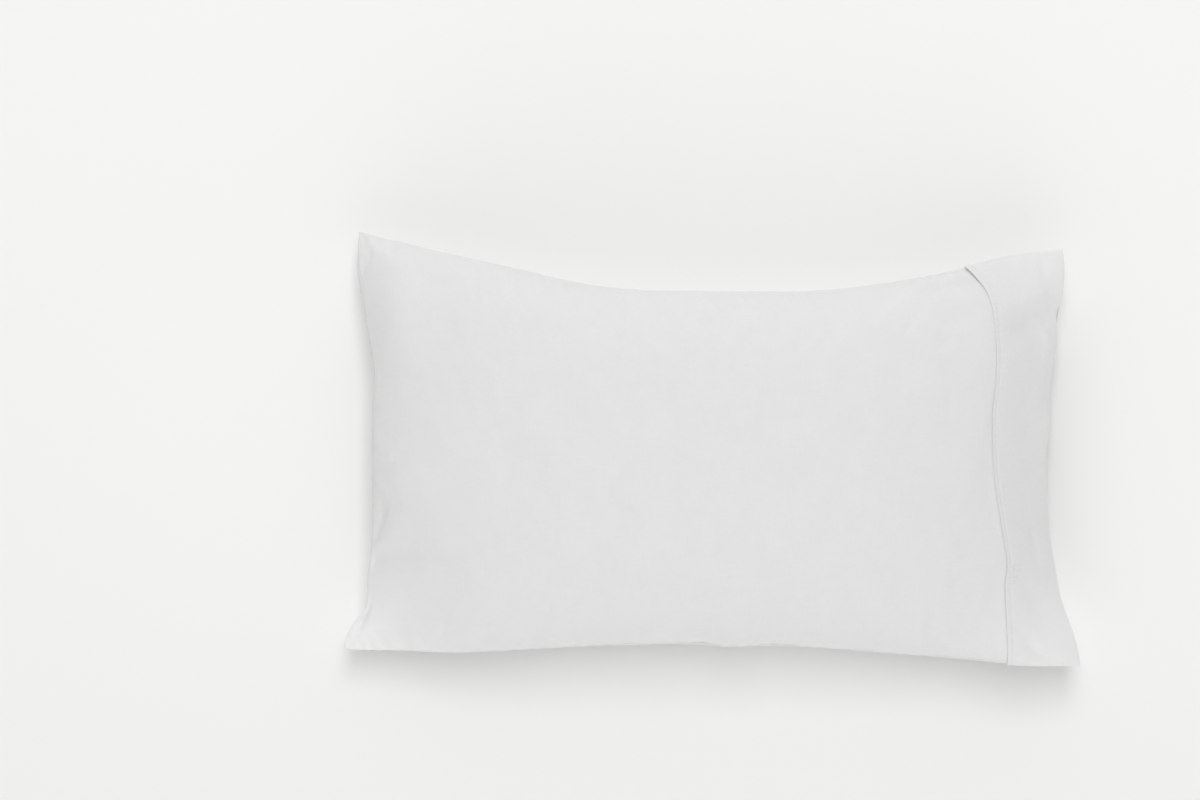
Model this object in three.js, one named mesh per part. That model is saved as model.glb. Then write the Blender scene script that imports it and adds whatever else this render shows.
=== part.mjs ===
// A filled pillowcase lying on its back: a closed cloth body with a pillow in it,
// and a double cloth cuff lapped over its mouth. Millimetres, +Z up.
// +X runs from the closed end to the open mouth, +Y across the case.
import * as THREE from 'three';
import { ParametricGeometry } from 'three/addons/geometries/ParametricGeometry.js';
import { mergeVertices } from 'three/addons/utils/BufferGeometryUtils.js';

// Fullness of the body
const CASE_WIDTH = 450; // between the side seams
const SEAM_HEIGHT = 80; // side seams above the surface it lies on
const CROWN_ABOVE = 98; // seam level to the top of the crown
const CROWN_BELOW = 102; // seam level to the underside before it meets the surface
const CONTACT_SOFTNESS = 7; // height over which the underside eases on to the surface
const FULLEST_PLACE = 0.52; // share of the way from the closed end to the cuff
const FOLD_FULLNESS_ABOVE = 0.40; // share of the crown left where the cuff begins
const FOLD_FULLNESS_BELOW = 0.62;
const FALL_ROUNDNESS = 3.6; // power of the fall from the fullest place to the cuff
const END_SQUARENESS = 2.7; // how boldly the closed end rises
const END_STEEPNESS = 0.58;
const EAR_REACH = 0.12; // share of the body over which its sections lose their ears
const MIDDLE_SECTION = { squareness: 2.7, steepness: 0.56 }; // round sides
const EAR_SECTION = { squareness: 2.1, steepness: 0.95 }; // pointed sides
const SEAM_LIP = 2.2; // half thickness of the sewn edge

// Cuff and the mouth
const CUFF_CLOTH = 2.6; // folded band with its turned hem
const PIECE_GAP = 0.5; // clear of the body all round
const FOLD_LEVEL = 70; // middle of the tube where the cuff begins
const MOUTH_LEVEL = 32; // middle of the tube at the mouth
const MOUTH_HALF_HEIGHT = 16; // half of the gape of the mouth
const MOUTH_POINTEDNESS = 0.8; // how far the mouth takes on the ears' section
const LOWER_LIP_REACH = 2.5; // the lower lip of the mouth stands out past the upper one
const BAND_EDGE_SHARPNESS = 6; // how quickly the band gains its thickness at its edges

// Rounded end of the filling, inside the cuff
const END_REACH = 0.46; // share of the cuff that it takes up in the middle
const END_REACH_AT_SEAMS = 0.14;
const END_NARROWING = 0.03;
const END_CLEARANCE = 3;
const END_BLUNTNESS = 0.9;

// Long edges of the case in plan, from the closed end to the mouth
const LOWER_EDGE = [
  { x: -406, y: -221 },
  { x: -391, y: -223 },
  { x: -340, y: -223 },
  { x: -288, y: -225 },
  { x: -222, y: -222 },
  { x: -129, y: -217 },
  { x: -17, y: -215 },
  { x: 16, y: -218 },
  { x: 82, y: -217 },
  { x: 214, y: -227 },
  { x: 333, y: -236 },
  { x: 405, y: -238 },
];
const UPPER_EDGE = [
  { x: -390, y: 241 },
  { x: -346, y: 228 },
  { x: -266, y: 210 },
  { x: -172, y: 188 },
  { x: -101, y: 176 },
  { x: 37, y: 173 },
  { x: 114, y: 174 },
  { x: 203, y: 184 },
  { x: 280, y: 199 },
  { x: 330, y: 211 },
  { x: 386, y: 218 },
];

// Cross lines of the case in plan, from the lower edge to the upper one
const CLOSED_END = [
  { y: -221, x: -406 },
  { y: -213, x: -405 },
  { y: -193, x: -395 },
  { y: -176, x: -382 },
  { y: -140, x: -379 },
  { y: -100, x: -374 },
  { y: 53, x: -373 },
  { y: 92, x: -372 },
  { y: 149, x: -382 },
  { y: 196, x: -391 },
  { y: 241, x: -390 },
];
const CUFF_FOLD = [
  { y: -236, x: 325 },
  { y: -150, x: 320 },
  { y: -126, x: 322 },
  { y: -73, x: 314 },
  { y: -20, x: 307 },
  { y: 40, x: 306 },
  { y: 75, x: 310 },
  { y: 125, x: 310 },
  { y: 170, x: 302 },
  { y: 199, x: 280 },
];
const MOUTH = [
  { y: -238, x: 405 },
  { y: -208, x: 399 },
  { y: -165, x: 385 },
  { y: -120, x: 377 },
  { y: -46, x: 370 },
  { y: 44, x: 374 },
  { y: 132, x: 383 },
  { y: 188, x: 388 },
  { y: 218, x: 386 },
];

// How far each ear stands above or hangs below the seams' level, and how slack its cloth is
const EARS = [
  { x: -406, y: -221, lift: -24, reach: 110, slack: 0.85, slackReach: 80 },
  { x: -390, y: 241, lift: -34, reach: 120, slack: 0.2, slackReach: 40 },
  { x: 405, y: -238, lift: 38, reach: 90, slack: 0.5, slackReach: 80 },
  { x: 386, y: 218, lift: 36, reach: 70, slack: 0.4, slackReach: 60 },
];

// Soft folds of each face, ridges above zero and troughs below, fading along their length
const UPPER_FOLDS = [
  { fromX: -392, fromY: 240, toX: -325, toY: 178, width: 16, rise: 7 },
  { fromX: -396, fromY: -206, toX: -345, toY: -150, width: 14, rise: 5 },
  { fromX: -376, fromY: -100, toX: -310, toY: -128, width: 12, rise: -5 },
  { fromX: 282, fromY: 190, toX: 215, toY: 172, width: 10, rise: -5 },
  { fromX: 384, fromY: 180, toX: 318, toY: 150, width: 12, rise: -4 },
  { fromX: 392, fromY: -226, toX: 338, toY: -122, width: 12, rise: 5 },
  { fromX: -330, fromY: 158, toX: -190, toY: 176, width: 36, rise: 7 },
];
const UNDER_FOLDS = [
  { fromX: -392, fromY: 236, toX: -330, toY: 185, width: 16, rise: 5 },
  { fromX: -398, fromY: -214, toX: -340, toY: -165, width: 15, rise: 5 },
  { fromX: 290, fromY: 190, toX: 225, toY: 160, width: 14, rise: -4 },
  { fromX: 310, fromY: -225, toX: 250, toY: -180, width: 14, rise: -4 },
];
const FOLD_LEAD_IN = 20; // how far a fold starts before its first point
const FOLD_EASE = 0.03; // folds die away at the closed end's seam

// Mesh steps
const ROUND_STEPS = 76;
const LIP_SHARE = 0.1; // share of the steps round a section that the lips take
const LENGTH_STEPS = 40;
const END_STEPS = 8; // of them round the end inside the cuff
const END_CROWDING = 1.7; // steps crowd towards the closed end
const CUFF_STEPS = 20;
const WELD = 1e-3;

const clamp01 = (value) => Math.min(1, Math.max(0, value));
const mix = (a, b, share) => a + (b - a) * share;
const easeInOut = (value) => value * value * (3 - 2 * value);

// Smooth value of one column of a table at a place along another column
function along(table, place, from, want) {
  const last = table.length - 1;
  let row = 0;
  while (row < last - 1 && table[row + 1][from] < place) row += 1;
  const slope = (i) => {
    const before = table[Math.max(0, i - 1)];
    const after = table[Math.min(last, i + 1)];
    return (after[want] - before[want]) / (after[from] - before[from]);
  };
  const start = table[row];
  const stop = table[row + 1];
  const span = stop[from] - start[from];
  const u = clamp01((place - start[from]) / span);
  const leave = u * (1 - u) * (1 - u) * span * slope(row);
  const arrive = u * u * (u - 1) * span * slope(row + 1);
  return mix(start[want], stop[want], easeInOut(u)) + leave + arrive;
}

// Plan of the case: s is 0 at the closed end, 1 at the fold of the cuff and 2 at the mouth,
// t is 0 at the lower edge and 1 at the upper one. Each part is a patch blended from its four edges.
function plan(s, t) {
  const onBody = s <= 1;
  const part = onBody ? s : s - 1;
  const near = onBody ? CLOSED_END : CUFF_FOLD;
  const far = onBody ? CUFF_FOLD : MOUTH;
  const [nearLow, nearHigh] = [near[0], near[near.length - 1]];
  const [farLow, farHigh] = [far[0], far[far.length - 1]];
  const crossLine = (table, low, high) => {
    const y = mix(low.y, high.y, t);
    return { x: along(table, y, 'y', 'x'), y };
  };
  const longEdge = (table, from, to) => {
    const x = mix(from.x, to.x, part);
    return { x, y: along(table, x, 'x', 'y') };
  };
  const low = longEdge(LOWER_EDGE, nearLow, farLow);
  const high = longEdge(UPPER_EDGE, nearHigh, farHigh);
  const back = crossLine(near, nearLow, nearHigh);
  const front = crossLine(far, farLow, farHigh);
  const blend = (axis) => {
    const corners = mix(mix(nearLow[axis], nearHigh[axis], t), mix(farLow[axis], farHigh[axis], t), part);
    return mix(low[axis], high[axis], t) + mix(back[axis], front[axis], part) - corners;
  };
  return { x: blend('x'), y: blend('y') };
}

// Height of the seams and of the middle of the tube, which sinks to the mouth and at the ears
function seamLevel(s, x, y) {
  const toFold = easeInOut(clamp01(2 * s - 1));
  let level = mix(mix(SEAM_HEIGHT, FOLD_LEVEL, toFold), MOUTH_LEVEL, clamp01(s - 1));
  for (const ear of EARS) {
    const away = Math.hypot(x - ear.x, y - ear.y) / ear.reach;
    level += ear.lift * Math.exp(-away * away);
  }
  return level;
}

// Share of the crown that is left where an ear is slack
function fillShare(x, y) {
  let share = 1;
  for (const ear of EARS) {
    const away = Math.hypot(x - ear.x, y - ear.y) / ear.slackReach;
    share *= 1 - ear.slack * Math.exp(-away * away);
  }
  return share;
}

// Fullness along the body: a round rise at the closed end, then a fall to the cuff that grows steeper
function lengthwiseFullness(s, foldFullness) {
  const rise = clamp01(s / FULLEST_PLACE);
  const swell = Math.pow(1 - Math.pow(1 - rise, END_SQUARENESS), END_STEEPNESS);
  const pastFullest = clamp01((s - FULLEST_PLACE) / (1 - FULLEST_PLACE));
  return swell * (1 - (1 - foldFullness) * Math.pow(pastFullest, FALL_ROUNDNESS));
}

// Fullness across the case, pointed at the ears and the mouth and round between them
function crosswiseFullness(s, across) {
  const atEars = Math.exp(-s / EAR_REACH);
  const atMouth = MOUTH_POINTEDNESS * clamp01(s - 1);
  const pointed = Math.max(atEars, atMouth);
  const steepness = mix(MIDDLE_SECTION.steepness, EAR_SECTION.steepness, pointed);
  const squareness = mix(MIDDLE_SECTION.squareness, EAR_SECTION.squareness, pointed);
  return Math.pow(1 - Math.pow(Math.abs(across), squareness), steepness);
}

function foldRelief(folds, x, y) {
  let relief = 0;
  for (const fold of folds) {
    const runX = fold.toX - fold.fromX;
    const runY = fold.toY - fold.fromY;
    const length = Math.hypot(runX, runY);
    const forward = ((x - fold.fromX) * runX + (y - fold.fromY) * runY) / length;
    const aside = ((x - fold.fromX) * runY - (y - fold.fromY) * runX) / length / fold.width;
    const before = Math.min(0, forward) / FOLD_LEAD_IN;
    const fading = clamp01(1 - Math.max(0, forward) / length);
    relief += fold.rise * fading * Math.exp(-before * before - aside * aside);
  }
  return relief;
}

// The surface it lies on flattens whatever would sink below it
function settle(height) {
  if (height <= -CONTACT_SOFTNESS) return 0;
  if (height >= CONTACT_SOFTNESS) return height;
  return Math.pow(height + CONTACT_SOFTNESS, 2) / (4 * CONTACT_SOFTNESS);
}

// Place round a section: a turn of 0 to 0.5 crosses the upper face and 0.5 to 1 the underside.
// Near each seam the section turns on the lip of the sewn edge.
function roundTheSection(turn) {
  const upper = turn <= 0.5;
  const sweep = upper ? turn * 4 - 1 : 3 - turn * 4;
  const size = Math.abs(sweep);
  const inLip = Math.max(0, (size - 1 + LIP_SHARE) / LIP_SHARE);
  const inFace = Math.min(1, size / (1 - LIP_SHARE));
  const across = Math.sin(inFace * Math.PI / 2) * Math.sign(sweep);
  return { upper, across, lipAngle: inLip * Math.PI / 2 };
}

// Outer skin of the case at s along it and a turn round its section
function skin(s, turn, target) {
  const { upper, across, lipAngle } = roundTheSection(turn);
  const inset = 2 * SEAM_LIP / CASE_WIDTH;
  const reach = across * (1 - inset) + Math.sign(across) * inset * Math.sin(lipAngle);
  const { x, y } = plan(s, (reach + 1) / 2);
  const toMouth = clamp01(s - 1);
  const foldFullness = upper ? FOLD_FULLNESS_ABOVE : FOLD_FULLNESS_BELOW;
  const bodyFullness = s <= 1
    ? lengthwiseFullness(s, foldFullness) * crosswiseFullness(s, across)
    : foldFullness * crosswiseFullness(1, across) * (1 - toMouth);
  const gape = toMouth * MOUTH_HALF_HEIGHT * crosswiseFullness(2, across);
  const crown = (upper ? CROWN_ABOVE : CROWN_BELOW) * bodyFullness * fillShare(x, y) + gape;
  const lip = s > 0 ? SEAM_LIP * Math.cos(lipAngle) : 0;
  const ease = clamp01(s / FOLD_EASE) * Math.sqrt(1 - across * across);
  const relief = foldRelief(upper ? UPPER_FOLDS : UNDER_FOLDS, x, y) * ease;
  const height = seamLevel(s, x, y) + (upper ? 1 : -1) * (crown + lip + relief);
  return target.set(x, y, settle(height));
}

// Cloth carried out from the skin of the cuff along its normal
function offsetSkin(s, turn, distance, target) {
  const step = 1e-3;
  const at = (place, angle) => skin(Math.min(2, Math.max(1, place)), (angle + 1) % 1, new THREE.Vector3());
  const lengthwise = at(s + step, turn).sub(at(s - step, turn));
  const crosswise = at(s, turn + step).sub(at(s, turn - step));
  const outward = lengthwise.cross(crosswise).normalize();
  return skin(s, turn, target).addScaledVector(outward, distance);
}

// A surface that closes on itself, with its edges welded
function closedGeometry(shape, roundSteps, lengthSteps) {
  const surface = new ParametricGeometry(shape, roundSteps, lengthSteps);
  surface.deleteAttribute('normal');
  surface.deleteAttribute('uv');
  const welded = mergeVertices(surface, WELD);
  welded.computeVertexNormals();
  return welded;
}

// Body: skin from the closed end to the fold of the cuff, then the rounded end of the filling,
// which follows the inside of the cuff and closes before the mouth
function bodyGeometry() {
  const endStart = 1 - END_STEPS / LENGTH_STEPS;
  const shape = (u, v, target) => {
    const turn = 1 - u;
    if (v <= endStart) {
      const place = v / endStart;
      return skin(mix(Math.pow(place, END_CROWDING), place, 0.5), turn, target);
    }
    const angle = (v - endStart) / (1 - endStart) * Math.PI / 2;
    const { across } = roundTheSection(turn);
    const reach = mix(END_REACH, END_REACH_AT_SEAMS, Math.pow(Math.abs(across), 3));
    const s = 1 + reach * Math.sin(angle);
    offsetSkin(s, turn, -END_CLEARANCE * Math.sin(2 * angle), target);
    const middle = seamLevel(s, target.x, target.y);
    target.z = mix(middle, target.z, Math.pow(Math.abs(Math.cos(angle)), END_BLUNTNESS));
    target.y *= 1 - END_NARROWING * Math.pow(Math.sin(angle), 2);
    return target;
  };
  return closedGeometry(shape, ROUND_STEPS, LENGTH_STEPS);
}

// Cuff: the band's own thin section, folded edge to hemmed edge and back, carried round the mouth
function cuffGeometry() {
  const half = CUFF_CLOTH / 2;
  const shape = (u, v, target) => {
    const turn = 1 - u;
    const { upper, across } = roundTheSection(turn);
    const angle = v * 2 * Math.PI;
    const s = 1.5 - 0.5 * Math.cos(angle);
    const side = Math.min(1, Math.max(-1, BAND_EDGE_SHARPNESS * Math.sin(angle)));
    offsetSkin(s, turn, PIECE_GAP + half + half * side, target);
    if (!upper) target.x += LOWER_LIP_REACH * Math.pow(s - 1, 2) * (1 - across * across);
    return target;
  };
  return closedGeometry(shape, ROUND_STEPS, CUFF_STEPS);
}

function namedMesh(name, geometry, finish) {
  const mesh = new THREE.Mesh(geometry, new THREE.MeshStandardMaterial(finish));
  mesh.name = name;
  return mesh;
}

// The origin is under the middle of the case, on the surface it lies on
function makePillowcase() {
  const group = new THREE.Group();
  group.add(namedMesh('case_body', bodyGeometry(), { color: 0xe6e6e4, roughness: 0.86, metalness: 0 }));
  group.add(namedMesh('cuff', cuffGeometry(), { color: 0xe8e8e6, roughness: 0.84, metalness: 0 }));
  const middle = new THREE.Box3().setFromObject(group).getCenter(new THREE.Vector3());
  group.position.set(-middle.x, -middle.y, 0);
  return group;
}

export default makePillowcase();
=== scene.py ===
import bpy
import numpy as np
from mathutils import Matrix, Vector


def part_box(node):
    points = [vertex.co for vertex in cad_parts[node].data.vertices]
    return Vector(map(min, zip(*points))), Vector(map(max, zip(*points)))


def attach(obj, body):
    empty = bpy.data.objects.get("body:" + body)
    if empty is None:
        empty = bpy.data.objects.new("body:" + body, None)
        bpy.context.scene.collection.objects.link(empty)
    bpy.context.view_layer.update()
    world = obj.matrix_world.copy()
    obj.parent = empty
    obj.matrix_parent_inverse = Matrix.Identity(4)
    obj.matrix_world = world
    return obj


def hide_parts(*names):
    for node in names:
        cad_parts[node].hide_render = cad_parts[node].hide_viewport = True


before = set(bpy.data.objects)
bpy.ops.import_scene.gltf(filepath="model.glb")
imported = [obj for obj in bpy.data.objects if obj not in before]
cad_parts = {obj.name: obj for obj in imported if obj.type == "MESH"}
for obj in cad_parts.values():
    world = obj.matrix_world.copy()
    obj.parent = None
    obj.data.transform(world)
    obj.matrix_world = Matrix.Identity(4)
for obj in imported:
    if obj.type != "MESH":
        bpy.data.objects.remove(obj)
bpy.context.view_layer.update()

# ---------------------------------------------------------------- sizes of the filled case
CASE_WIDTH = 0.450
SEAM_HEIGHT = 0.080
CROWN_ABOVE = 0.098
CROWN_BELOW = 0.102
CONTACT_SOFTNESS = 0.007
FULLEST_PLACE = 0.52
FOLD_FULLNESS_ABOVE = 0.40
FOLD_FULLNESS_BELOW = 0.62
FALL_ROUNDNESS = 3.6
END_SQUARENESS = 2.7
END_STEEPNESS = 0.58
EAR_REACH = 0.12
MIDDLE_SECTION = (2.7, 0.56)  # squareness and steepness of a section across the middle
EAR_SECTION = (2.1, 0.95)
SEAM_LIP = 0.0022
LIP_SHARE = 0.09  # share of each face's sweep that goes round the lip

FOLD_LEVEL = 0.070
MOUTH_LEVEL = 0.032
MOUTH_HALF_HEIGHT = 0.016
MOUTH_POINTEDNESS = 0.8
LOWER_LIP_REACH = 0.0025
END_REACH = 0.46
END_REACH_AT_SEAMS = 0.14
END_NARROWING = 0.03
END_CLEARANCE = 0.003
END_BLUNTNESS = 0.9

# Long edges in plan, from the closed end to the mouth: x, y
LOWER_EDGE = (
    (-0.406, -0.221), (-0.391, -0.223), (-0.340, -0.223), (-0.288, -0.225), (-0.222, -0.222),
    (-0.129, -0.217), (-0.017, -0.215), (0.016, -0.218), (0.082, -0.217), (0.214, -0.227),
    (0.333, -0.236), (0.405, -0.238),
)
UPPER_EDGE = (
    (-0.390, 0.241), (-0.346, 0.228), (-0.266, 0.210), (-0.172, 0.188), (-0.101, 0.176),
    (0.037, 0.173), (0.114, 0.174), (0.203, 0.184), (0.280, 0.199), (0.330, 0.211), (0.386, 0.218),
)
# Cross lines in plan, from the lower edge to the upper one: y, x
CLOSED_END = (
    (-0.221, -0.406), (-0.213, -0.405), (-0.193, -0.395), (-0.176, -0.382), (-0.140, -0.379),
    (-0.100, -0.374), (0.053, -0.373), (0.092, -0.372), (0.149, -0.382), (0.196, -0.391),
    (0.241, -0.390),
)
CUFF_FOLD = (
    (-0.236, 0.325), (-0.150, 0.320), (-0.126, 0.322), (-0.073, 0.314), (-0.020, 0.307),
    (0.040, 0.306), (0.075, 0.310), (0.125, 0.310), (0.170, 0.302), (0.199, 0.280),
)
MOUTH = (
    (-0.238, 0.405), (-0.208, 0.399), (-0.165, 0.385), (-0.120, 0.377), (-0.046, 0.370),
    (0.044, 0.374), (0.132, 0.383), (0.188, 0.388), (0.218, 0.386),
)
# Ears above or below the seams' level, with slack cloth: x, y, lift, reach, slack, slack reach
EARS = (
    (-0.406, -0.221, -0.024, 0.110, 0.85, 0.080),
    (-0.390, 0.241, -0.034, 0.120, 0.20, 0.040),
    (0.405, -0.238, 0.038, 0.090, 0.50, 0.080),
    (0.386, 0.218, 0.036, 0.070, 0.40, 0.060),
)
# Soft folds, fading along their length: from x, from y, to x, to y, width, rise (below zero: a trough)
UPPER_FOLDS = (
    (-0.392, 0.240, -0.325, 0.178, 0.016, 0.007),
    (-0.396, -0.206, -0.345, -0.150, 0.014, 0.005),
    (-0.376, -0.100, -0.310, -0.128, 0.012, -0.005),
    (0.282, 0.190, 0.215, 0.172, 0.010, -0.005),
    (0.384, 0.180, 0.318, 0.150, 0.012, -0.004),
    (0.392, -0.226, 0.338, -0.122, 0.012, 0.005),
    (-0.330, 0.158, -0.190, 0.176, 0.036, 0.007),
)
UNDER_FOLDS = (
    (-0.392, 0.236, -0.330, 0.185, 0.016, 0.005),
    (-0.398, -0.214, -0.340, -0.165, 0.015, 0.005),
    (0.290, 0.190, 0.225, 0.160, 0.014, -0.004),
    (0.310, -0.225, 0.250, -0.180, 0.014, -0.004),
)
FOLD_LEAD_IN = 0.020
FOLD_EASE = 0.03
BODY_LENGTH = CUFF_FOLD[4][1] - CLOSED_END[6][1]  # along the middle, from the closed end to the cuff
JUST_ON_CUFF = 1 + 1e-9  # the least s that plan() takes as the cuff's

# Where the tables' own zero lies in the frame. At the closed end, the lower ear is the case's least X and
# the upper ear its greatest Y.
body_low, body_high = (np.array(corner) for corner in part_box("case_body"))
CENTRE = np.array([body_low[0] - CLOSED_END[0][1], body_high[1] - UPPER_EDGE[0][1], 0.0])


# ---------------------------------------------------------------- the case's own surface
def mix(a, b, share):
    """A straight blend: a where the share is 0, b where it is 1."""
    return a + (b - a) * share


def ease_in_out(u):
    """A smooth step: three u squared less two u cubed, held to 0 and 1."""
    u = np.clip(u, 0.0, 1.0)
    return u * u * (3.0 - 2.0 * u)


def smooth_line(table, place):
    """A cubic through the rows of (place, value), with each row's slope taken from its two neighbours."""
    at, value = np.array(table).T
    slope = np.empty(len(at))
    slope[1:-1] = (value[2:] - value[:-2]) / (at[2:] - at[:-2])
    slope[0] = (value[1] - value[0]) / (at[1] - at[0])
    slope[-1] = (value[-1] - value[-2]) / (at[-1] - at[-2])
    row = np.clip(np.searchsorted(at, place) - 1, 0, len(at) - 2)
    span = at[row + 1] - at[row]
    u = np.clip((place - at[row]) / span, 0.0, 1.0)
    leave = u * (1 - u) ** 2 * span * slope[row]
    arrive = u * u * (u - 1) * span * slope[row + 1]
    return mix(value[row], value[row + 1], ease_in_out(u)) + leave + arrive


def plan_patch(part, t, near, far):
    """A patch blended from its four edges: the two long edges, the two cross lines, less the corners."""
    near_low, near_high = np.array(near[0])[::-1], np.array(near[-1])[::-1]
    far_low, far_high = np.array(far[0])[::-1], np.array(far[-1])[::-1]
    low_x = mix(near_low[0], far_low[0], part)
    high_x = mix(near_high[0], far_high[0], part)
    low = np.stack([low_x, smooth_line(LOWER_EDGE, low_x)], -1)
    high = np.stack([high_x, smooth_line(UPPER_EDGE, high_x)], -1)
    back_y = mix(near_low[1], near_high[1], t)
    front_y = mix(far_low[1], far_high[1], t)
    back = np.stack([smooth_line(near, back_y), back_y], -1)
    front = np.stack([smooth_line(far, front_y), front_y], -1)
    t, part = t[..., None], part[..., None]
    corners = mix(mix(near_low, near_high, t), mix(far_low, far_high, t), part)
    return mix(low, high, t) + mix(back, front, part) - corners


def plan(s, t):
    """Plan of the case: s is 0 at the closed end, 1 at the cuff's fold, 2 at the mouth; t runs across."""
    body = plan_patch(np.clip(s, 0, 1), t, CLOSED_END, CUFF_FOLD)
    cuff = plan_patch(np.clip(s - 1, 0, 1), t, CUFF_FOLD, MOUTH)
    return np.where((s <= 1)[..., None], body, cuff)


def seam_level(s, x, y):
    """Height of the seams and of the middle of the tube, sinking to the mouth, with a bell at each ear."""
    to_fold = ease_in_out(2 * s - 1)
    level = mix(mix(SEAM_HEIGHT, FOLD_LEVEL, to_fold), MOUTH_LEVEL, np.clip(s - 1, 0, 1))
    for ear_x, ear_y, lift, reach, _, _ in EARS:
        level = level + lift * np.exp(-((x - ear_x) ** 2 + (y - ear_y) ** 2) / reach ** 2)
    return level


def fill_share(x, y):
    """Share of the crown that is left where an ear is slack: one less a bell, for each ear."""
    share = np.ones_like(x)
    for ear_x, ear_y, _, _, slack, reach in EARS:
        share = share * (1 - slack * np.exp(-((x - ear_x) ** 2 + (y - ear_y) ** 2) / reach ** 2))
    return share


def lengthwise_fullness(s, fold_fullness):
    """A round rise from the closed end to the fullest place, then a fall to the cuff by a power."""
    rise = np.clip(s / FULLEST_PLACE, 0, 1)
    swell = (1 - (1 - rise) ** END_SQUARENESS) ** END_STEEPNESS
    past = np.clip((s - FULLEST_PLACE) / (1 - FULLEST_PLACE), 0, 1)
    return swell * (1 - (1 - fold_fullness) * past ** FALL_ROUNDNESS)


def crosswise_fullness(s, across):
    """One less a power of the place across, raised to a power: pointed at the ears, round between."""
    at_ears = np.exp(-s / EAR_REACH)
    at_mouth = MOUTH_POINTEDNESS * np.clip(s - 1, 0, 1)
    pointed = np.maximum(at_ears, at_mouth)
    squareness = mix(MIDDLE_SECTION[0], EAR_SECTION[0], pointed)
    steepness = mix(MIDDLE_SECTION[1], EAR_SECTION[1], pointed)
    return np.maximum(1 - np.abs(across) ** squareness, 0) ** steepness


def fold_relief(folds, x, y):
    """Sum of straight folds: a bell across each one that fades along its length."""
    relief = np.zeros_like(x)
    for from_x, from_y, to_x, to_y, width, rise in folds:
        run_x, run_y = to_x - from_x, to_y - from_y
        length = np.hypot(run_x, run_y)
        forward = ((x - from_x) * run_x + (y - from_y) * run_y) / length
        aside = ((x - from_x) * run_y - (y - from_y) * run_x) / length / width
        before = np.minimum(0, forward) / FOLD_LEAD_IN
        fading = np.clip(1 - np.maximum(0, forward) / length, 0, 1)
        relief += rise * fading * np.exp(-before ** 2 - aside ** 2)
    return relief


def settle(height):
    """The surface below flattens what would sink into it, with a short parabola at the rim."""
    rim = (height + CONTACT_SOFTNESS) ** 2 / (4 * CONTACT_SOFTNESS)
    return np.where(height <= -CONTACT_SOFTNESS, 0, np.where(height >= CONTACT_SOFTNESS, height, rim))


def round_the_section(turn):
    """Is it the upper face (a turn up to 0.5), the place across it from -1 to 1, and the angle round the
    seam's lip: 0 on a face, a right angle on the seam."""
    upper = turn <= 0.5
    sweep = np.where(upper, turn * 4 - 1, 3 - turn * 4)
    size = np.abs(sweep)
    in_lip = np.maximum(0, (size - 1 + LIP_SHARE) / LIP_SHARE)
    in_face = np.minimum(1, size / (1 - LIP_SHARE))
    across = np.sin(in_face * np.pi / 2) * np.sign(sweep)
    return upper, across, in_lip * np.pi / 2


def skin(s, turn, end_lip=1.0):
    """Outer skin: the plan place, raised or lowered from the seam level by crown, gape, lip and folds,
    then settled on the floor. end_lip is the share of the seam lip left in the closed end's own lip."""
    upper, across, lip_angle = round_the_section(turn)
    inset = 2 * SEAM_LIP / CASE_WIDTH
    reach = across * (1 - inset) + np.sign(across) * inset * np.sin(lip_angle)
    place = plan(s, (reach + 1) / 2)
    x, y = place[..., 0], place[..., 1]
    to_mouth = np.clip(s - 1, 0, 1)
    fold_fullness = np.where(upper, FOLD_FULLNESS_ABOVE, FOLD_FULLNESS_BELOW)
    on_body = lengthwise_fullness(s, fold_fullness) * crosswise_fullness(s, across)
    on_cuff = fold_fullness * crosswise_fullness(np.ones_like(s), across) * (1 - to_mouth)
    fullness = np.where(s <= 1, on_body, on_cuff)
    gape = to_mouth * MOUTH_HALF_HEIGHT * crosswise_fullness(np.full_like(s, 2.0), across)
    crown = np.where(upper, CROWN_ABOVE, CROWN_BELOW) * fullness * fill_share(x, y) + gape
    lip = SEAM_LIP * np.cos(lip_angle) * end_lip
    ease = np.clip(s / FOLD_EASE, 0, 1) * np.sqrt(1 - across ** 2)
    relief = np.where(upper, fold_relief(UPPER_FOLDS, x, y), fold_relief(UNDER_FOLDS, x, y)) * ease
    height = seam_level(s, x, y) + np.where(upper, 1, -1) * (crown + lip + relief)
    return np.stack([x, y, settle(height)], -1) + CENTRE


def skin_frame(s, turn):
    """The cuff's skin with its outward normal and its unit direction towards the mouth, by differences."""
    step = 1e-4
    ahead = skin(np.clip(s + step, JUST_ON_CUFF, 2), turn)
    behind = skin(np.clip(s - step, JUST_ON_CUFF, 2), turn)
    left = skin(s, (turn + step) % 1)
    right = skin(s, (turn - step) % 1)
    forward = ahead - behind
    outward = np.cross(forward, left - right)
    outward /= np.linalg.norm(outward, axis=-1, keepdims=True)
    forward /= np.linalg.norm(forward, axis=-1, keepdims=True)
    return skin(s, turn), outward, forward


# ---------------------------------------------------------------- fine relief
CREASE_EASE_IN = 0.25
CREASE_EASE_OUT = 0.5
OTHER_FACE = 3.0  # metres along X from the upper face's waves to the underside's own
PUCKER_DRIFT = 1.6
PUCKER_EVENNESS = 0.6  # share of a pucker's strength that is the same all along its line
FLOOR_CLEARANCE = 0.001  # height up to which no relief is added and the cloth is held


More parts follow.
